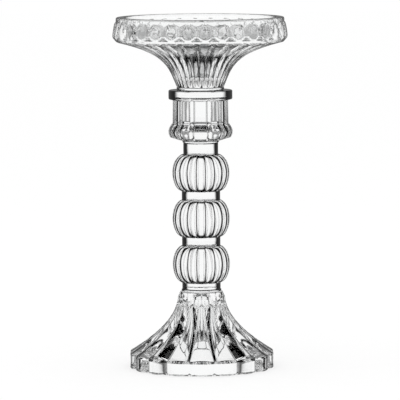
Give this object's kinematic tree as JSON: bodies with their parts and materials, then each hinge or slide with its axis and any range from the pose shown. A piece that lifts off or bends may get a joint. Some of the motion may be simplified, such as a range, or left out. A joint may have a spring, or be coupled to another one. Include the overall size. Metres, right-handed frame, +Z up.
{
  "type": "glass candlestick",
  "caption": "Clear pressed-glass candlestick for a pillar candle: ribbed trumpet foot, stem of reeded balls, fluted collar and a wide bowl with a petalled rim.",
  "frame": {"origin": "middle of the face that the foot stands on", "axes": "+Z up along the candlestick's axis; the front, as pictured, faces -Y"},
  "size_m": [0.119, 0.119, 0.24],
  "materials": {
    "bowl_glass": "clear pressed glass, fire-polished",
    "collar_glass": "clear pressed glass, fire-polished",
    "stem_glass": "clear pressed glass, fire-polished",
    "foot_glass": "clear pressed glass, fire-polished",
    "wafer_glass": "clear glass, bonded on both faces"
  },
  "bodies": {
    "root": {"candle_bowl": "bowl_glass", "bowl_wafer": "wafer_glass", "collar": "collar_glass", "upper_wafer": "wafer_glass", "stem": "stem_glass", "lower_wafer": "wafer_glass", "foot": "foot_glass"}
  },
  "joints": []
}
